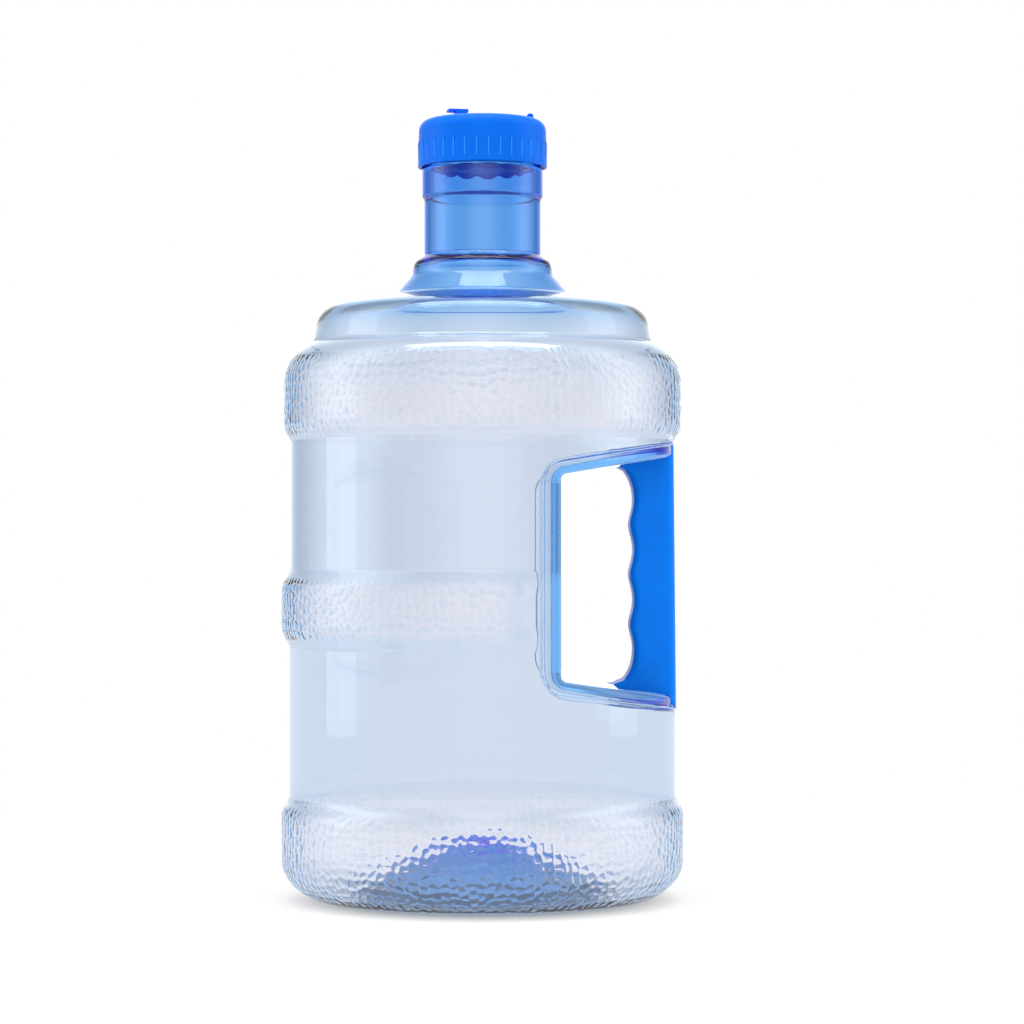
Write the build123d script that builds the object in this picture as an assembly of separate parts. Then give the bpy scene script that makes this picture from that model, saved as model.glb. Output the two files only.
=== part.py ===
"""Large returnable water jug: stretch-blown PET shell, clipped-in handle and screw cap.

Millimetres. Z is up, the base ring stands on z = 0, the handle is on the +X side.
"""
import os
from math import cos, radians, sin, tan

from build123d import *

# Shell
WALL = 0.5
BASE_CENTRE = 4.0
BACK_WALL = 2.2
BODY_R = 90.3
BASE_R = 94.3
MID_BAND_R = 94.3
TOP_BAND_R = 93.3
FOOT_R = 69.0
CORNER_H = 19.0
PUSH_UP = 25.0
CROWN_ARC = 20.3
CROWN_ARC_Z = 241.5
KINK_ANGLE = 69.9
DOME_R = 76.8
DOME_Z = 276.6
NECK_R = 27.5
COLLAR_R = 28.5
COLLAR_TOP = 343.0
BORE_R = 24.4
RIM_Z = 359.6

# The mid band runs round the back and sides and stops short of the handle recess
BAND_LOW = 118.4
BAND_HIGH = 154.8
BAND_RAMP = 7.6
BAND_FROM = 77.4
BAND_SPAN = 205.2

# Recess behind the handle, with a shallow step round its two openings
RECESS_X = 35.0
RECESS_TOP = 197.2
RECESS_LOW = 105.3
TOP_SLOPE = 10.2
LOW_SLOPE = 9.6
RECESS_CORNER = 2.5
STEP_SIDE = 8.3
STEP_EDGE = 5.5
STEP_DEPTH = 1.2
STEP_CORNER = 9.0

# Handle, symmetrical about its own mid height
GRIP_MID = 152.2
GRIP_HALF_W = 13.3
PAD_X = 60.0
HEEL_X = 66.0
PAD_H = 56.4
TIP_H = 62.6
FLARE_X = 82.0
OPEN_H = 49.2
WAVE_PITCH = 23.5
CREST_X = 68.9
VALLEY_X = 70.3
GRIP_TOP_R = 89.8
GRIP_LOW_R = 90.9
GRIP_EDGE = 3.0
POCKET_GAP = 0.35

# Screw closure
PITCH = 4.5
TURNS = 2.0
FINISH_R = 26.4
THREAD_CREST_R = 27.9
THREAD_START = 347.0
CAP_R = 29.8
CAP_BORE_R = 28.6
CAP_LOW_R = 30.4
CAP_LOW = 343.4
CAP_TOP = 366.0
CAP_SHOULDER = 5.5
CAP_SEAT = 361.2
CAP_CREST_R = 27.2
CAP_RIBS = 34
GASKET_IN_R = 23.6
GASKET_OUT_R = 27.0

# Dispensing well, its plug and the dust lid
WELL_R = 9.5
WELL_WALL = 1.3
WELL_LOW = 343.6
PLUG_FIT = 0.07
PLUG_R = 19.5
CLAWS = 11
CLAW_LOW = 340.2
LID_R = 18.6
LID_SEAT_R = 18.9
LID_FLOOR = 364.0
LIP_ANGLE = 192.0
LIP_R = 10.4
LIP_TOP = 370.7
HINGE_R = 21.5
HINGE_Z = 367.4
BARREL_R = 1.2
PIN_R = 0.8
PIN_FIT = 0.05


def run(vertices):
    """Open polyline through (r, z, corner radius) vertices."""
    points = [(r, z) for r, z, _ in vertices]
    if len(points) == 2:
        return Line(*points)
    return FilletPolyline(*points, radius=[fillet for _, _, fillet in vertices[1:-1]])


def section(vertices):
    """Closed face in the XZ plane from (x, z, corner radius) vertices."""
    points = [(x, z) for x, z, _ in vertices]
    radii = [fillet for _, _, fillet in vertices]
    return Plane.XZ * make_face(FilletPolyline(*points, radius=radii, close=True))


def ring(inner, outer, low, high):
    """Plain ring about the Z axis."""
    body = Cylinder(outer, high - low) - Cylinder(inner, high - low)
    return Pos(0, 0, (low + high) / 2) * body


def polar(shape, count):
    """Copies of a shape spread evenly about the Z axis."""
    return [Rot(0, 0, 360.0 * i / count) * shape for i in range(count)]


def round_form(t):
    """Body of revolution at depth t below the outer skin, with the neck or with its bore."""
    angle = KINK_ANGLE + 1.7 * t
    crown_x = TOP_BAND_R - CROWN_ARC
    crown_r = CROWN_ARC - t
    kink_r = crown_x + crown_r * cos(radians(angle))
    kink_z = CROWN_ARC_Z + crown_r * sin(radians(angle))
    centre_z = PUSH_UP + t / WALL * BASE_CENTRE
    base = [
        (0, centre_z, 0),
        (11, centre_z, 40),
        (57 + 6 * t, 6 + 1.2 * t, 4),
        (60 + 2 * t, 2 * t, 2.5),
        (FOOT_R, t, 0),
    ]
    side = [
        (BASE_R - t, CORNER_H, 0),
        (BASE_R - t, 42.2 - 0.5 * t, 8),
        (BODY_R - t, 47.6 - 0.5 * t, 4),
        (BODY_R - t, 214.8 + 0.5 * t, 0),
        (TOP_BAND_R - t, 220.6 + 0.4 * t, 10),
        (TOP_BAND_R - t, CROWN_ARC_Z, 0),
    ]
    dome = [
        (kink_r, kink_z, 0),
        (DOME_R - t, DOME_Z - t, 10),
        (41.3 - 2.2 * t, 283.4 - 4.6 * t, 3),
    ]
    outside_neck = [
        (33.3, 292.6, 3),
        (32.2, 298.6, 2.5),
        (NECK_R, 302.0, 1),
        (NECK_R, 328.2, 0.5),
        (COLLAR_R, 329.2, 0.5),
        (COLLAR_R, COLLAR_TOP, 0.8),
        (FINISH_R, COLLAR_TOP, 0.6),
        (FINISH_R, RIM_Z, 0),
    ]
    bore = [(30.6, 291.3, 4), (BORE_R, 299.0, 4), (BORE_R, RIM_Z + 5, 0)]
    neck = bore if t > 0 else outside_neck
    curves = [
        run(base),
        EllipticalCenterArc((FOOT_R, CORNER_H), BASE_R - FOOT_R - t, CORNER_H - t, 270, arc_size=90),
        run(side),
        CenterArc((crown_x, CROWN_ARC_Z), crown_r, 0, angle),
        run(dome + neck),
        Line((neck[-1][0], neck[-1][1]), (0, neck[-1][1])),
        Line((0, neck[-1][1]), (0, base[0][1])),
    ]
    return revolve(Plane.XZ * make_face(curves), Axis.Z)


def mid_band(t):
    """Raised band at depth t, open on the handle side."""
    rise = 0.5 * t
    band = section([
        (BODY_R - 8, BAND_LOW + rise, 0),
        (BODY_R - t, BAND_LOW + rise, 0),
        (MID_BAND_R - t, BAND_LOW + BAND_RAMP + rise, 10),
        (MID_BAND_R - t, BAND_HIGH - BAND_RAMP - rise, 10),
        (BODY_R - t, BAND_HIGH - rise, 0),
        (BODY_R - 8, BAND_HIGH - rise, 0),
    ])
    trim = 0.75 * t
    return Rot(0, 0, BAND_FROM + trim) * revolve(band, Axis.Z, BAND_SPAN - 2 * trim)


def opening_top(x, edge):
    """Height of the opening's upper line at x, grown by edge."""
    return RECESS_TOP + (x - RECESS_X) * tan(radians(TOP_SLOPE)) + edge / cos(radians(TOP_SLOPE))


def opening_low(x, edge):
    """Height of the opening's lower line at x, grown by edge."""
    return RECESS_LOW - (x - RECESS_X) * tan(radians(LOW_SLOPE)) - edge / cos(radians(LOW_SLOPE))


def opening(side, edge, corner):
    """Handle opening carried right through in Y, grown by side and edge."""
    back = RECESS_X - side
    end = RECESS_X + 70
    outline = section([
        (back, opening_low(back, edge), corner),
        (end, opening_low(end, edge), 0),
        (end, opening_top(end, edge), 0),
        (back, opening_top(back, edge), corner),
    ])
    return extrude(outline, 120, both=True)


def end_outline(gap, inner_h, outer_x):
    """Upper handle pad as (x, height above mid) curves, grown by gap."""
    flare = [(FLARE_X, PAD_H + gap), (86.9, 58.6 + gap), (90.0, TIP_H + gap)]
    corners = [
        (90.0, TIP_H + gap),
        (outer_x, TIP_H + gap),
        (outer_x, inner_h),
        (HEEL_X, inner_h),
        (PAD_X - gap, inner_h + 2.4),
        (PAD_X - gap, PAD_H + gap),
        flare[0],
    ]
    return make_face([ThreePointArc(*flare), Polyline(*corners)])


def pockets(gap):
    """Seats for the two handle pads, grown by gap."""
    outline = Plane.XZ * end_outline(gap, OPEN_H - 12, 105.0)
    half = GRIP_HALF_W + POCKET_GAP + gap
    upper = extrude(outline, half, both=True)
    lower = mirror(upper, Plane.XY)
    return Pos(0, 0, GRIP_MID) * (upper + lower)


def hollow_form(t):
    """Shell outside at depth t: round form and band, less the step and the recess."""
    side = t / WALL * BACK_WALL
    floor_r = BODY_R - STEP_DEPTH - t
    step = opening(STEP_SIDE + t, STEP_EDGE + t, STEP_CORNER + t)
    step -= Pos(0, 0, GRIP_MID) * Cylinder(floor_r, 300)
    recess = opening(side, t, RECESS_CORNER + t)
    return round_form(t) + mid_band(t) - step - recess


def screw_thread(root_r, crest_r, start):
    """Trapezoidal ridge that climbs round the Z axis; crest_r below root_r faces inward."""
    path = Helix(pitch=PITCH, height=PITCH * TURNS, radius=root_r, center=(0, 0, start))
    sink = 0.3 if crest_r > root_r else -0.3
    depth = crest_r - root_r
    outline = Polyline((-sink, -0.95), (depth, -0.45), (depth, 0.45), (-sink, 0.95), close=True)
    # The ridge's section stands across the helix with its local X along the radius
    frame = Plane(origin=path @ 0, x_dir=(1, 0, 0), z_dir=-(path % 0))
    return sweep(frame * make_face(outline), path, is_frenet=True)


def jug_body():
    """PET shell with its threaded neck finish."""
    outer = hollow_form(0) - pockets(0)
    cavity = hollow_form(WALL) - pockets(WALL)
    shell = outer - cavity
    thread = screw_thread(FINISH_R, THREAD_CREST_R, THREAD_START)
    return shell + thread


def handle_grip():
    """Solid handle: two flared pads joined by a finger-waved bar."""
    pad = extrude(Plane.XZ * end_outline(0, OPEN_H, 95.0), GRIP_HALF_W, both=True)
    waves = []
    for finger in (-1.5, -0.5, 0.5, 1.5):
        waves.append((VALLEY_X, (finger - 0.2) * WAVE_PITCH))
        waves.append((VALLEY_X, (finger + 0.2) * WAVE_PITCH))
        waves.append((CREST_X, (finger + 0.5) * WAVE_PITCH))
    # The finger side swings in to meet each pad at the corner of the opening
    inside = [(HEEL_X, -OPEN_H), *waves[:-1], (HEEL_X, OPEN_H)]
    back = Polyline(inside[-1], (95, OPEN_H), (95, -OPEN_H), inside[0])
    bar = extrude(Plane.XZ * make_face([Spline(*inside), back]), GRIP_HALF_W, both=True)
    outer_face = Cone(GRIP_LOW_R, GRIP_TOP_R, 2 * TIP_H)
    blank = (pad + mirror(pad, Plane.XY) + bar) & outer_face
    long_edges = [
        e for e in blank.edges()
        if abs(abs((e @ 0.5).Y) - GRIP_HALF_W) < 0.01 and e.length > 60
    ]
    return Pos(0, 0, GRIP_MID) * fillet(long_edges, GRIP_EDGE)


def cap_shell():
    """Screw cap with grip ribs, inner thread, open dispensing well and hinge ears."""
    wall = section([
        (CAP_BORE_R, CAP_LOW, 0.3),
        (CAP_LOW_R, CAP_LOW, 0.5),
        (CAP_R, CAP_TOP, CAP_SHOULDER),
        (LID_SEAT_R, CAP_TOP, 0.4),
        (LID_SEAT_R, LID_FLOOR, 0),
        (WELL_R, LID_FLOOR, 0.4),
        (WELL_R, WELL_LOW, 0.3),
        (WELL_R + WELL_WALL, WELL_LOW, 0.3),
        (WELL_R + WELL_WALL, CAP_SEAT, 0.6),
        (CAP_BORE_R, CAP_SEAT, 1.2),
    ])
    cap = revolve(wall, Axis.Z)
    rib = Pos(CAP_R + 0.1, 0, CAP_LOW + 7) * Box(0.8, 0.9, 10)
    cap += polar(rib, CAP_RIBS)
    thread = screw_thread(CAP_BORE_R, CAP_CREST_R, THREAD_START - PITCH / 2)
    return cap + thread + hinge_ears()


def hinge_frame():
    """Placement of the lid hinge: local X along the pin, local Y away from the cap's axis."""
    return Rot(0, 0, LIP_ANGLE - 180 - 90) * Pos(0, HINGE_R, HINGE_Z)


def hinge_ears():
    """Two ears on the cap's top that hold the lid's pin."""
    height = HINGE_Z - CAP_TOP + 0.4
    ear = Pos(0, 0, -height / 2) * Box(1.6, 3.2, height)
    ear += Rot(0, 90, 0) * Cylinder(1.6, 1.6)
    ear -= Rot(0, 90, 0) * Cylinder(PIN_R + PIN_FIT, 4)
    return hinge_frame() * (Pos(6.2, 0, 0) * ear + Pos(-6.2, 0, 0) * ear)


def cap_gasket():
    """Flat seal between the neck rim and the cap's seat."""
    return ring(GASKET_IN_R, GASKET_OUT_R, RIM_Z, CAP_SEAT)


def valve_plug():
    """Plug that closes the well from below: cup, flange and a crown of claws."""
    cup_r = WELL_R - PLUG_FIT
    cup = section([
        (0, WELL_LOW - 1.4, 0),
        (PLUG_R, WELL_LOW - 1.4, 0),
        (PLUG_R, WELL_LOW, 0.4),
        (cup_r, WELL_LOW, 0),
        (cup_r, WELL_LOW + 5.4, 0.5),
        (cup_r - 1.2, WELL_LOW + 5.4, 0),
        (cup_r - 1.2, WELL_LOW + 0.2, 0.6),
        (0, WELL_LOW + 0.2, 0),
    ])
    crown = ring(PLUG_R - 1.8, PLUG_R, CLAW_LOW, WELL_LOW - 1.4)
    claw_h = WELL_LOW - 1.4 - CLAW_LOW
    half_gap = PLUG_R * sin(radians(180 / CLAWS)) * 0.75
    notch = Polyline((-half_gap, -0.1), (half_gap, -0.1), (0, claw_h - 0.3), close=True)
    wedge = extrude(Plane.YZ * make_face(notch), PLUG_R + 2)
    crown -= polar(Pos(0, 0, CLAW_LOW) * wedge, CLAWS)
    return revolve(cup, Axis.Z) + crown


def dust_lid():
    """Hinged lid over the well, with a lift lip at the front and a barrel at the back."""
    disc = section([
        (0, LID_FLOOR, 0),
        (LID_R, LID_FLOOR, 0),
        (LID_R, CAP_TOP, 0.5),
        (0, CAP_TOP + 0.6, 0),
    ])
    lid = revolve(disc, Axis.Z)
    post_h = LIP_TOP - 1 - CAP_TOP + 0.4
    post = Pos(LIP_R, 0, LIP_TOP - 1 - post_h / 2) * Box(5.6, 6.1, post_h)
    bar = Pos(LIP_R + 1.6, 0, LIP_TOP - 0.65) * fillet(Box(9.4, 6.1, 1.3).edges(), 0.3)
    lid += Rot(0, 0, LIP_ANGLE) * (post + bar)
    barrel = Rot(0, 90, 0) * Cylinder(BARREL_R, 10.4)
    pin = Rot(0, 90, 0) * Cylinder(PIN_R, 14.2)
    arm = Pos(0, -3.1, -0.75) * Box(8, 6.2, 1.1)
    foot = Pos(0, -4.7, -1.3) * Box(8, 3.0, 1.4)
    return lid + hinge_frame() * (barrel + pin + arm + foot)


NODES = {
    "jug_body": jug_body,
    "handle_grip": handle_grip,
    "cap_shell": cap_shell,
    "cap_gasket": cap_gasket,
    "valve_plug": valve_plug,
    "dust_lid": dust_lid,
}

if __name__ == "__main__":
    os.makedirs("parts", exist_ok=True)
    for name, make in NODES.items():
        export_step(make(), f"parts/{name}.step")
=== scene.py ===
"""Large water jug: clear PET shell with textured bands, blue handle and screw closure.

Metres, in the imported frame: Z up, base ring on z = 0, handle on the +X side.
"""
from math import acos, cos, pi, radians, sin, tan

import bpy
import numpy as np
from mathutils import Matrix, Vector


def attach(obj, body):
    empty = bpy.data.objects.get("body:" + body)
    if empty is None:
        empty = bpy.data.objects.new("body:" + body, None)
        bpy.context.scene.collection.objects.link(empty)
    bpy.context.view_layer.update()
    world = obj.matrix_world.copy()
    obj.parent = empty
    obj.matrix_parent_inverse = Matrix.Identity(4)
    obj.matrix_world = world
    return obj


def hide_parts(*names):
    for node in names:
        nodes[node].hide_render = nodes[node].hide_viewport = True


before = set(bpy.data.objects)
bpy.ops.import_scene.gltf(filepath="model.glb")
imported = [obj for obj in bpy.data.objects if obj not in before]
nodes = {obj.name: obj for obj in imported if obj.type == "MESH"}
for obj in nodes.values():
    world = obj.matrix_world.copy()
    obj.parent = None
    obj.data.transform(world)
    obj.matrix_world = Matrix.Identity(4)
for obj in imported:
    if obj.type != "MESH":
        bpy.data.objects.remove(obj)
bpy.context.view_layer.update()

MM = 0.001
scene = bpy.context.scene

# Shell, in millimetres, as in the CAD
WALL = 0.5
BASE_CENTRE = 4.0
BODY_R = 90.3
BASE_R = 94.3
BAND_R = 94.3
TOP_BAND_R = 93.3
FOOT_R = 69.0
CORNER_H = 19.0
PUSH_UP = 25.0
CROWN_ARC = 20.3
CROWN_ARC_Z = 241.5
DOME_R = 76.8
DOME_Z = 276.6
NECK_R = 27.5
COLLAR_R = 28.5
COLLAR_TOP = 343.0
FINISH_R = 26.4
BORE_R = 24.4
RIM_Z = 359.6
BAND_LOW = 118.4
BAND_HIGH = 154.8
BAND_RAMP = 7.6
BAND_END = radians(77.4)
RECESS_X = 35.0
RECESS_TOP = 197.2
RECESS_LOW = 105.3
TOP_SLOPE = radians(10.2)
LOW_SLOPE = radians(9.6)
RECESS_CORNER = 2.5
STEP_SIDE = 8.3
STEP_EDGE = 5.5
STEP_DEPTH = 1.2
STEP_CORNER = 9.0
SEAT_GAP = 0.35
GRIP_MID = 152.2
GRIP_HALF_W = 13.3
PAD_X = 60.0
PAD_H = 56.4
TIP_H = 62.6
FLARE_X = 82.0

# Where the shell's look differs from the CAD: softer edges and band ends, and a thinner back wall
BAND_FADE = radians(8)
FRAME_R = 2.0
FRAME_IN_R = 7.0
STEP_ROUND = 0.6
SEAT_ROUND = 0.7
BACK_WALL = 0.9

# Mesh density: columns round the axis, spacing along the outlines, rows in the handle zone
COLUMNS = 800
OUTER_STEP = 0.95
OUTER_ROWS = 300
INNER_STEP = 1.5
INNER_ROWS = 190
ZONE_LOW = 80.0
ZONE_HIGH = 214.8
ZONE_SHARES = (0.09, 0.2, 0.36, 0.24, 0.11)
ZONE_MARGIN = 0.3
OPENING_EDGE = radians(69.5)
EDGE_DENSITY = 2.5
EDGE_SPREAD = radians(6)

# Pebble relief, with the lowest and highest z of each pebbled band and its soft edge
PEBBLE = 4.3
PEBBLE_DEPTH = 0.42
PEBBLE_RUN = 400
PEBBLED_R = 62
BASE_PEBBLES = (5, 42.5, 3)
MID_PEBBLES = (124.5, 148.5, 2.5)
TOP_PEBBLES = (219, 251, 3)
MID_PEBBLE_START = BAND_END + radians(3)
MID_PEBBLE_FADE = radians(5)

# Grip ribs on the cap's skirt
RIBS = 34
RIB_SEAT_R = 29.9
RIB_RISE = 0.48
RIB_HALF_W = 0.5

# How fast PET absorbs red, green and blue, per metre, and the density that the colour is set for
PET_TAKEN = (335, 128, 2)
PET_DEPTH = 400


# ---------------------------------------------------------------- shared sums
def eased(share):
    """Smooth step of a share held between 0 and 1."""
    share = np.clip(share, 0, 1)
    return share * share * (3 - 2 * share)


def off_handle(theta):
    """Angle from 0 to pi between a direction and the handle's side."""
    return np.abs((theta + pi) % (2 * pi) - pi)


# ---------------------------------------------------------------- outlines
def rounded(vertices, step):
    """Dense (r, z) points along a polyline whose corners are rounded to the given radii."""
    path = [vertices[0][:2]]
    for before, here, after in zip(vertices, vertices[1:], vertices[2:]):
        corner = np.array(here[:2])
        back = np.array(before[:2]) - corner
        ahead = np.array(after[:2]) - corner
        back /= np.linalg.norm(back)
        ahead /= np.linalg.norm(ahead)
        half = np.arccos(np.clip(back @ ahead, -1, 1)) / 2
        radius = here[2]
        if radius == 0:
            path.append(tuple(corner))
            continue
        reach = radius / tan(half)
        middle = (back + ahead) / np.linalg.norm(back + ahead) * radius / sin(half)
        sweep = pi - 2 * half
        count = max(2, int(radius * sweep / step) + 1)
        first = corner + back * reach - (corner + middle)
        last = corner + ahead * reach - (corner + middle)
        for k in range(count + 1):
            a = k / count
            mix = (first * sin((1 - a) * sweep) + last * sin(a * sweep)) / sin(sweep)
            path.append(tuple(corner + middle + mix))
    path.append(vertices[-1][:2])
    return resampled(np.array(path), step)


def resampled(path, step):
    """Points along a path, evenly spaced by about step, keeping both ends."""
    lengths = np.linalg.norm(np.diff(path, axis=0), axis=1)
    path = path[np.r_[True, lengths > 1e-9]]
    run = np.r_[0, np.cumsum(np.linalg.norm(np.diff(path, axis=0), axis=1))]
    count = max(1, int(round(run[-1] / step)))
    at = np.linspace(0, run[-1], count + 1)
    return np.stack([np.interp(at, run, path[:, i]) for i in (0, 1)], 1)


def base_outline(t, step):
    """Push-up, foot ring, corner and base band at depth t, up to the handle zone."""
    centre_z = PUSH_UP + t / WALL * BASE_CENTRE
    foot = rounded([
        (0.4, centre_z),
        (11, centre_z, 40),
        (57 + 6 * t, 6 + 1.2 * t, 4),
        (60 + 2 * t, 2 * t, 2.5),
        (FOOT_R, t),
    ], step * 1.5)
    turn = np.linspace(-pi / 2, 0, int(36 / step))
    corner = np.stack([
        FOOT_R + (BASE_R - FOOT_R - t) * np.cos(turn),
        CORNER_H + (CORNER_H - t) * np.sin(turn),
    ], 1)
    side = rounded([
        (BASE_R - t, CORNER_H),
        (BASE_R - t, 42.2 - 0.5 * t, 8),
        (BODY_R - t, 47.6 - 0.5 * t, 4),
        (BODY_R - t, 52),
    ], step)
    plain = resampled(np.array([(BODY_R - t, 52), (BODY_R - t, ZONE_LOW)]), step * 1.5)
    return np.concatenate([foot[:-1], corner[:-1], side[:-1], plain])


def upper_outline(t, step):
    """Shoulder band, two-step dome and neck at depth t, from the handle zone to the rim."""
    angle = radians(69.9 + 1.7 * t)
    arc = np.linspace(0, angle, int(25 / step))
    crown_x = TOP_BAND_R - CROWN_ARC
    band = rounded([
        (BODY_R - t, ZONE_HIGH),
        (TOP_BAND_R - t, 220.6 + 0.4 * t, 10),
        (TOP_BAND_R - t, CROWN_ARC_Z),
    ], step)
    crown = np.stack([
        crown_x + (CROWN_ARC - t) * np.cos(arc),
        CROWN_ARC_Z + (CROWN_ARC - t) * np.sin(arc),
    ], 1)
    dome = [
        (crown[-1][0], crown[-1][1]),
        (DOME_R - t, DOME_Z - t, 10),
        (41.3 - 2.2 * t, 283.4 - 4.6 * t, 3),
    ]
    outside = [
        (33.3, 292.6, 3),
        (32.2, 298.6, 2.5),
        (NECK_R, 302.0, 1),
        (NECK_R, 328.2, 0.5),
        (COLLAR_R, 329.2, 0.5),
        (COLLAR_R, COLLAR_TOP, 0.8),
        (FINISH_R, COLLAR_TOP, 0.6),
        (FINISH_R, RIM_Z),
    ]
    inside = [(31.1, 291.4, 3), (30.0, 297.2, 2), (BORE_R, 299.4, 2), (BORE_R, RIM_Z)]
    neck = rounded(dome + (inside if t else outside), step)
    return np.concatenate([band[:-1], crown[:-1], neck])


# ---------------------------------------------------------------- shell surface
def joined(a, b, radius):
    """Signed distance to where two solids overlap, with their shared edge rounded."""
    rim = np.hypot(np.maximum(a + radius, 0), np.maximum(b + radius, 0))
    return np.minimum(np.maximum(a, b), -radius) + rim


def opening_distance(x, z, side, edge, corner):
    """Signed distance in the XZ plane to the handle opening, grown by side and edge."""
    back = RECESS_X - side - x
    top = (z - RECESS_TOP - (x - RECESS_X) * tan(TOP_SLOPE)) * cos(TOP_SLOPE) - edge
    low = (RECESS_LOW - (x - RECESS_X) * tan(LOW_SLOPE) - z) * cos(LOW_SLOPE) - edge
    return joined(back, np.maximum(top, low), corner)


def pocket_distance(x, y, z, t):
    """Signed distance to the seats of the handle's two pads, grown by t."""
    gap = SEAT_GAP + t
    rise = np.clip((x - FLARE_X) / 8, 0, 1.2)
    ceiling = PAD_H + gap + (TIP_H - PAD_H) * rise ** 1.35
    height = np.abs(z - GRIP_MID) - ceiling
    return np.maximum(np.maximum(PAD_X - gap - x, height), np.abs(y) - GRIP_HALF_W - gap)


def shell_distance(theta, r, z, t):
    """Signed distance to the handle zone's skin at depth t, in its own half-plane."""
    x, y = r * np.cos(theta), r * np.sin(theta)
    step = opening_distance(x, z, STEP_SIDE + t, STEP_EDGE + t, STEP_CORNER + t)
    step = np.maximum(step, BODY_R - STEP_DEPTH - t - r)
    recess = opening_distance(x, z, t / WALL * BACK_WALL, t, RECESS_CORNER + t)
    body = joined(r - BODY_R + t, -step, STEP_ROUND)
    body = joined(body, -recess, FRAME_IN_R if t else FRAME_R)
    return joined(body, -pocket_distance(x, y, z, t), SEAT_ROUND)


def settled(theta, r, z, t):
    """Rows moved onto the skin within their half-planes."""
    e = 0.01
    for _ in range(6):
        value = shell_distance(theta, r, z, t)
        slope_r = (shell_distance(theta, r + e, z, t) - value) / e
        slope_z = (shell_distance(theta, r, z + e, t) - value) / e
        size = np.maximum(slope_r ** 2 + slope_z ** 2, 0.15)
        r = r - value * slope_r / size
        z = z - value * slope_z / size
    return r, z


def zone_corners(angle, t):
    """Corners (r, z) of the handle zone's outline in one half-plane, from foot to band."""
    radius = BODY_R - t
    back = RECESS_X - t / WALL * BACK_WALL
    low, top = RECESS_LOW - t, RECESS_TOP + t
    reach = radius * cos(angle)
    if reach > back + ZONE_MARGIN:
        return np.array([
            (radius, ZONE_LOW),
            (radius, low - (reach - back) * tan(LOW_SLOPE)),
            (back / cos(angle), low),
            (back / cos(angle), top),
            (radius, top + (reach - back) * tan(TOP_SLOPE)),
            (radius, ZONE_HIGH),
        ])
    beyond = off_handle(angle) - acos(back / radius)
    share = min(max(beyond / radians(25), 0), 1)
    edges = [low - ZONE_MARGIN, low + ZONE_MARGIN, top - ZONE_MARGIN, top + ZONE_MARGIN]
    tight = np.array([ZONE_LOW, *edges, ZONE_HIGH])
    even = ZONE_LOW + (ZONE_HIGH - ZONE_LOW) * np.cumsum([0, *ZONE_SHARES])
    return np.stack([np.full(6, radius), tight + (even - tight) * share], 1)


def spread(r, z, cuts):
    """One column's rows spaced evenly within each stretch between cuts."""
    for a, b in zip(cuts, cuts[1:]):
        part = slice(a, b + 1)
        run = np.r_[0, np.cumsum(np.hypot(np.diff(r[part]), np.diff(z[part])))]
        at = np.linspace(0, run[-1], b + 1 - a)
        r[part], z[part] = np.interp(at, run, r[part]), np.interp(at, run, z[part])


def handle_zone(theta, t, count):
    """Rows of (r, z) between the plain foot and the shoulder band for every column."""
    cuts = np.round(np.cumsum([0, *ZONE_SHARES]) * (count - 1)).astype(int)
    rows_r = np.empty((count, len(theta)))
    rows_z = np.empty((count, len(theta)))
    for j, angle in enumerate(theta):
        corners = zone_corners(angle, t)
        rows_r[:, j] = np.interp(np.arange(count), cuts, corners[:, 0])
        rows_z[:, j] = np.interp(np.arange(count), cuts, corners[:, 1])
    near = np.flatnonzero(np.cos(theta) * (BODY_R - t) > RECESS_X - 18)
    for _ in range(4):
        rows_r[1:-1, near], rows_z[1:-1, near] = settled(
            theta[near][None, :], rows_r[1:-1, near], rows_z[1:-1, near], t
        )
        for j in near:
            spread(rows_r[:, j], rows_z[:, j], cuts)
    share = eased((off_handle(theta) - BAND_END) / BAND_FADE + 0.5)
    profile = rounded([
        (0, BAND_LOW + 0.5 * t),
        (BAND_R - BODY_R, BAND_LOW + BAND_RAMP + 0.5 * t, 10),
        (BAND_R - BODY_R, BAND_HIGH - BAND_RAMP - 0.5 * t, 10),
        (0, BAND_HIGH - 0.5 * t),
    ], 0.5)
    rows_r += share[None, :] * np.interp(rows_z, profile[:, 1], profile[:, 0])
    return rows_r, rows_z


def pebbles(u, v, width):
    """Height from 0 in the grooves to 1 on the crowns of irregular pebbles; u wraps at width."""
    rng = np.random.default_rng(7)
    across = int(round(width / PEBBLE))
    size = width / across
    up = int(PEBBLE_RUN / PEBBLE)
    shift = rng.uniform(0.12, 0.88, (across, up, 2))
    crown = rng.uniform(0.65, 1.0, (across, up))
    cu, cv = u / size, v / PEBBLE
    iu, iv = np.floor(cu).astype(int), np.floor(cv).astype(int)
    nearest = np.full(u.shape, 9.0)
    second = np.full(u.shape, 9.0)
    height = np.zeros(u.shape)
    for du in (-1, 0, 1):
        for dv in (-1, 0, 1):
            a, b = (iu + du) % across, (iv + dv) % up
            away = np.hypot(iu + du + shift[a, b, 0] - cu, iv + dv + shift[a, b, 1] - cv)
            closer = away < nearest
            second = np.where(closer, nearest, np.minimum(second, away))
            height = np.where(closer, crown[a, b], height)
            nearest = np.minimum(nearest, away)
    groove = np.clip((second - nearest) / 0.6, 0, 1)
    return height * groove * (2 - groove)


def window(z, low, high, soft):
    """1 between low and high, easing to 0 over soft millimetres outside."""
    return eased(np.clip((z - low) / soft + 1, 0, 1) * np.clip((high - z) / soft + 1, 0, 1))


def grid_faces(rows, columns, first):
    """Quads between successive closed rows of vertices."""
    i = np.arange(rows - 1)[:, None] * columns + first
    j = np.arange(columns)[None, :]
    k = (j + 1) % columns
    return np.stack([i + j, i + k, i + columns + k, i + columns + j], 2).reshape(-1, 4)


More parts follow.
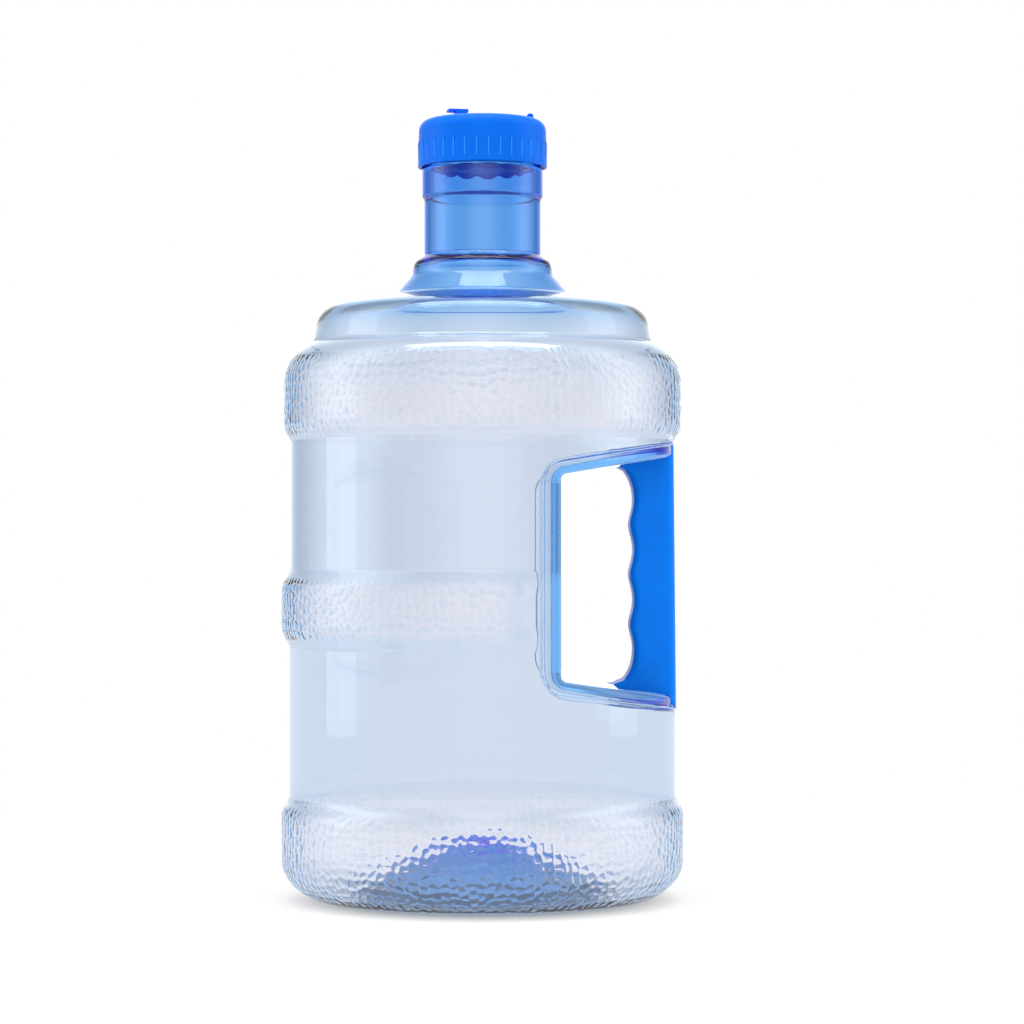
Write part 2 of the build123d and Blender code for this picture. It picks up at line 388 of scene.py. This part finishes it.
def column_angles(count):
    """Angles round the axis, denser where the handle opening meets the wall."""
    fine = np.linspace(0, 2 * pi, 7201)
    away = off_handle(fine) - OPENING_EDGE
    density = 1 + EDGE_DENSITY * np.exp(-(away / EDGE_SPREAD) ** 4)
    share = np.r_[0, np.cumsum(density[1:])]
    return np.interp(np.arange(count) / count, share / share[-1], fine)


def shell_rows(t, columns, step, zone_rows):
    """Column angles of one skin of the shell, and all its rows as r and z arrays."""
    theta = column_angles(columns)
    base = base_outline(t, step)
    upper = upper_outline(t, step)
    zone_r, zone_z = handle_zone(theta, t, zone_rows)
    ring = np.ones((1, columns))
    r = np.concatenate([base[:-1, :1] * ring, zone_r, upper[1:, :1] * ring])
    z = np.concatenate([base[:-1, 1:] * ring, zone_z, upper[1:, 1:] * ring])
    return theta, r, z


def pebbled(theta, r, z):
    """Outer skin's r and z with pebbles pressed into the base, mid and shoulder bands."""
    lengths = np.hypot(np.diff(r, axis=0), np.diff(z, axis=0))
    run = np.cumsum(np.r_[np.zeros((1, COLUMNS)), lengths], 0)
    on_band = np.clip((off_handle(theta) - MID_PEBBLE_START) / MID_PEBBLE_FADE, 0, 1)[None, :]
    cover = np.maximum(window(z, *BASE_PEBBLES), window(z, *TOP_PEBBLES))
    cover = np.maximum(cover, window(z, *MID_PEBBLES) * on_band)
    cover = np.where(r > PEBBLED_R, cover, 0)
    relief = pebbles(theta[None, :] * BASE_R * np.ones_like(z), run, 2 * pi * BASE_R)
    slope_r, slope_z = np.gradient(r, axis=0), np.gradient(z, axis=0)
    length = np.maximum(np.hypot(slope_r, slope_z), 1e-6)
    sink = cover * (1 - relief) * PEBBLE_DEPTH
    return r - sink * slope_z / length, z + sink * slope_r / length


def placed(theta, r, z):
    """Points (x, y, z) of rows of (r, z), with one column for each angle."""
    return np.stack([r * np.cos(theta), r * np.sin(theta), z], 2).reshape(-1, 3)


def shell_faces(rows, inner_rows):
    """Faces of both skins, of their poles and of the rim, where the inner has half the columns."""
    half = COLUMNS // 2
    inner_first = rows * COLUMNS
    outer_pole = inner_first + inner_rows * half
    outer = grid_faces(rows, COLUMNS, 0)
    inner = grid_faces(inner_rows, half, inner_first)[:, ::-1]
    faces = outer.tolist() + inner.tolist()
    faces += [[outer_pole, (j + 1) % COLUMNS, j] for j in range(COLUMNS)]
    faces += [[outer_pole + 1, inner_first + j, inner_first + (j + 1) % half] for j in range(half)]
    rim, inner_rim = inner_first - COLUMNS, outer_pole - half
    for j in range(half):
        a = rim + 2 * j
        b = rim + (2 * j + 2) % COLUMNS
        faces.append([a, a + 1, b, inner_rim + (j + 1) % half, inner_rim + j])
    return faces


def jug_shell():
    """Closed PET shell: textured outer skin, smooth inner skin, joined round the rim."""
    theta, r, z = shell_rows(0, COLUMNS, OUTER_STEP, OUTER_ROWS)
    r, z = pebbled(theta, r, z)
    inner_theta, inner_r, inner_z = shell_rows(WALL, COLUMNS // 2, INNER_STEP, INNER_ROWS)
    points = np.concatenate([
        placed(theta, r, z),
        placed(inner_theta, inner_r, inner_z),
        [[0, 0, PUSH_UP], [0, 0, PUSH_UP + BASE_CENTRE]],
    ])
    return mesh_object("jug_shell", points, shell_faces(len(r), len(inner_r)))


def cap_ribs():
    """Rounded grip ribs on the cap's skirt; their paler blue is a painted highlight."""
    across = np.radians(np.linspace(-90, 90, 9))
    along = np.array([345.2, 345.6, 346.4, 354.2, 355.0, 355.4])
    swell = np.array([0.1, 0.7, 1.0, 1.0, 0.7, 0.1])
    width = len(across)
    points, faces = [], []
    for i in range(RIBS):
        turn = 2 * pi * i / RIBS
        first = len(points)
        for z, size in zip(along, swell):
            r = RIB_SEAT_R + RIB_RISE * size * np.cos(across)
            side = RIB_HALF_W * size * np.sin(across)
            x = r * cos(turn) - side * sin(turn)
            y = r * sin(turn) + side * cos(turn)
            points += np.stack([x, y, np.full(width, z)], 1).tolist()
        for k in range(len(along) - 1):
            for j in range(width - 1):
                a = first + width * k + j
                faces.append([a, a + 1, a + width + 1, a + width])
    return mesh_object("cap_ribs", points, faces)


def mesh_object(name, points, faces):
    """New smooth-shaded object from points in millimetres."""
    mesh = bpy.data.meshes.new(name)
    mesh.from_pydata((np.asarray(points) * MM).tolist(), [], faces)
    mesh.validate()
    mesh.polygons.foreach_set("use_smooth", [True] * len(mesh.polygons))
    made = bpy.data.objects.new(name, mesh)
    scene.collection.objects.link(made)
    return made


# ---------------------------------------------------------------- materials
def new_material(name, **values):
    """Material with a Principled shader; values are set on its own sockets."""
    made = bpy.data.materials.new(name)
    made.use_nodes = True
    shader = made.node_tree.nodes["Principled BSDF"]
    for key, value in values.items():
        shader.inputs[key.replace("_", " ")].default_value = value
    return made, made.node_tree, shader


def add(tree, kind, **settings):
    """New node with its settings."""
    node = tree.nodes.new(kind)
    for key, value in settings.items():
        setattr(node, key, value)
    return node


def feed(tree, entry, value):
    """Link a socket to an input, or set the input to a number."""
    if isinstance(value, bpy.types.NodeSocket):
        tree.links.new(value, entry)
    else:
        entry.default_value = value


def ranged(tree, value, source, target, shape="SMOOTHSTEP"):
    """A socket's value mapped from the source range to the target range."""
    node = add(tree, "ShaderNodeMapRange", interpolation_type=shape)
    feed(tree, node.inputs["Value"], value)
    for key, number in zip(("From Min", "From Max", "To Min", "To Max"), (*source, *target)):
        node.inputs[key].default_value = number
    return node.outputs["Result"]


def worked(tree, operation, first, second=0, **settings):
    """Result of a maths node; an operation on one value ignores the second."""
    node = add(tree, "ShaderNodeMath", operation=operation, **settings)
    feed(tree, node.inputs[0], first)
    feed(tree, node.inputs[1], second)
    return node.outputs[0]


def mixed(tree, factor, first, second):
    """Float mix that goes from the first value to the second."""
    node = add(tree, "ShaderNodeMix", data_type="FLOAT")
    feed(tree, node.inputs["Factor"], factor)
    feed(tree, node.inputs["A"], first)
    feed(tree, node.inputs["B"], second)
    return node.outputs["Result"]


def pet_material():
    """Clear PET that takes out red first, so thick and edge-on walls look blue."""
    made, tree, shader = new_material(
        "pet", Transmission_Weight=1.0, Roughness=0.02, IOR=1.5,
    )
    shader.inputs["Base Color"].default_value = (0.94, 0.9, 0.925, 1)
    inside = add(tree, "ShaderNodeVolumeAbsorption")
    inside.inputs["Color"].default_value = (*[1 - s / PET_DEPTH for s in PET_TAKEN], 1)
    inside.inputs["Density"].default_value = PET_DEPTH
    output = tree.nodes["Material Output"]
    tree.links.new(inside.outputs[0], output.inputs["Volume"])
    return made


def plastic_material(name, colour, roughness):
    """Moulded plastic with a faint mottle in colour and gloss."""
    made, tree, shader = new_material(
        name, Roughness=roughness, IOR=1.5, Specular_IOR_Level=0.08,
    )
    place = add(tree, "ShaderNodeTexCoord")
    noise = add(tree, "ShaderNodeTexNoise")
    noise.inputs["Scale"].default_value = 90
    noise.inputs["Detail"].default_value = 4
    tree.links.new(place.outputs["Object"], noise.inputs["Vector"])
    ramp = add(tree, "ShaderNodeValToRGB")
    ramp.color_ramp.elements[0].color = (*[c * 0.93 for c in colour], 1)
    ramp.color_ramp.elements[1].color = (*colour, 1)
    ramp.color_ramp.elements[0].position = 0.35
    ramp.color_ramp.elements[1].position = 0.65
    tree.links.new(noise.outputs["Fac"], ramp.inputs["Fac"])
    tree.links.new(ramp.outputs["Color"], shader.inputs["Base Color"])
    bump = add(tree, "ShaderNodeBump")
    bump.inputs["Strength"].default_value = 0.05
    bump.inputs["Distance"].default_value = 0.0003
    tree.links.new(noise.outputs["Fac"], bump.inputs["Height"])
    tree.links.new(bump.outputs["Normal"], shader.inputs["Normal"])
    return made


def paint(made, material):
    """Give an object one material."""
    made.data.materials.clear()
    made.data.materials.append(material)


# ---------------------------------------------------------------- studio
def floor_material():
    """White floor that takes a faint cast shadow, carries a painted contact shadow under the jug,
    and melts into the surround.
    """
    made, tree, shader = new_material(
        "floor", Roughness=0.9, Specular_IOR_Level=0, Emission_Color=(1, 1, 1, 1),
    )
    place = add(tree, "ShaderNodeTexCoord")
    length = add(tree, "ShaderNodeVectorMath", operation="LENGTH")
    tree.links.new(place.outputs["Object"], length.inputs[0])
    away = length.outputs["Value"]
    albedo = ranged(tree, away, (0.15, 0.6), (0.3, 0.0))
    glow = ranged(tree, away, (0.15, 0.6), (0.7, 1.0))
    # Painted contact shadow: the floor's glow is dimmed to 0.15 under the jug.
    shade = ranged(tree, away, (0.05, 0.1), (0.15, 1))
    tree.links.new(albedo, shader.inputs["Base Color"])
    tree.links.new(worked(tree, "MULTIPLY", glow, shade), shader.inputs["Emission Strength"])
    return made


def camera():
    """Nearly level view from the front, aimed slightly right of the jug's axis."""
    data = bpy.data.cameras.new("camera")
    data.lens = 109.3
    made = bpy.data.objects.new("camera", data)
    scene.collection.objects.link(made)
    made.location = (0, -1.462, 0.164)
    aim = Vector((0.0139, 0, 0.1815)) - made.location
    made.rotation_euler = aim.to_track_quat("-Z", "Y").to_euler()
    scene.camera = made


def softbox(name, place, aim, size, power):
    """Rectangular area light that faces a point."""
    data = bpy.data.lights.new(name, "AREA")
    data.shape = "RECTANGLE"
    data.size, data.size_y = size
    data.energy = power
    made = bpy.data.objects.new(name, data)
    scene.collection.objects.link(made)
    made.location = place
    made.rotation_euler = (Vector(aim) - Vector(place)).to_track_quat("-Z", "Y").to_euler()


def surround():
    """White world, bright square to the jug and duller at its corners, most so in reflections."""
    world = bpy.data.worlds.new("surround")
    scene.world = world
    world.use_nodes = True
    tree = world.node_tree
    path = add(tree, "ShaderNodeLightPath").outputs
    place = add(tree, "ShaderNodeTexCoord")
    split = add(tree, "ShaderNodeSeparateXYZ")
    tree.links.new(place.outputs["Generated"], split.inputs[0])
    turn = worked(tree, "ARCTAN2", split.outputs["Y"], split.outputs["X"])
    swing = worked(tree, "COSINE", worked(tree, "MULTIPLY", turn, 4))
    walls = ranged(tree, swing, (-1, 0.6), (0.6, 1))
    sheen = ranged(tree, swing, (-1, 1), (0.3, 1.7), "LINEAR")
    reflected = worked(
        tree, "SUBTRACT", path["Is Glossy Ray"], path["Is Transmission Ray"], use_clamp=True,
    )
    strength = mixed(tree, path["Is Diffuse Ray"], walls, 1.05)
    strength = mixed(tree, reflected, strength, sheen)
    strength = mixed(tree, path["Is Camera Ray"], strength, 1)
    background = tree.nodes["Background"]
    background.inputs["Color"].default_value = (1, 1, 1, 1)
    tree.links.new(strength, background.inputs["Strength"])


def studio():
    """Surround, pale floor, softboxes at both sides and overhead, and light path lengths."""
    surround()
    bpy.ops.mesh.primitive_plane_add(size=30)
    floor = bpy.context.object
    floor.name = "floor"
    paint(floor, floor_material())
    softbox("left_box", (-1.3, 0.0, 0.5), (0, 0, 0.3), (0.6, 2.4), 3.5)
    softbox("right_box", (1.3, 0.0, 0.5), (0, 0, 0.3), (0.6, 2.4), 2.5)
    softbox("top_box", (0, -0.2, 1.4), (0, 0, 0.2), (1.2, 0.4), 7)
    scene.view_settings.view_transform = "Standard"
    scene.cycles.max_bounces = 32
    scene.cycles.transmission_bounces = 32
    scene.cycles.glossy_bounces = 16


# ---------------------------------------------------------------- assembly
camera()
studio()
shell = jug_shell()
paint(shell, pet_material())
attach(shell, "jug")
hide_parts("jug_body")
paint(nodes["handle_grip"], plastic_material("handle_blue", (0.0, 0.225, 1.0), 0.35))
cap_blue = plastic_material("cap_blue", (0.0, 0.15, 0.82), 0.35)
paint(nodes["cap_shell"], cap_blue)
paint(nodes["dust_lid"], cap_blue)
ribs = cap_ribs()
# Paler than the cap's blue: a painted highlight standing in for lit ribs.
paint(ribs, plastic_material("rib_blue_painted_highlight", (0.02, 0.3, 0.95), 0.3))
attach(ribs, "cap")
paint(nodes["valve_plug"], plastic_material("plug_blue", (0.0, 0.2, 0.9), 0.4))
paint(nodes["cap_gasket"], plastic_material("seal", (0.8, 0.82, 0.84), 0.5))
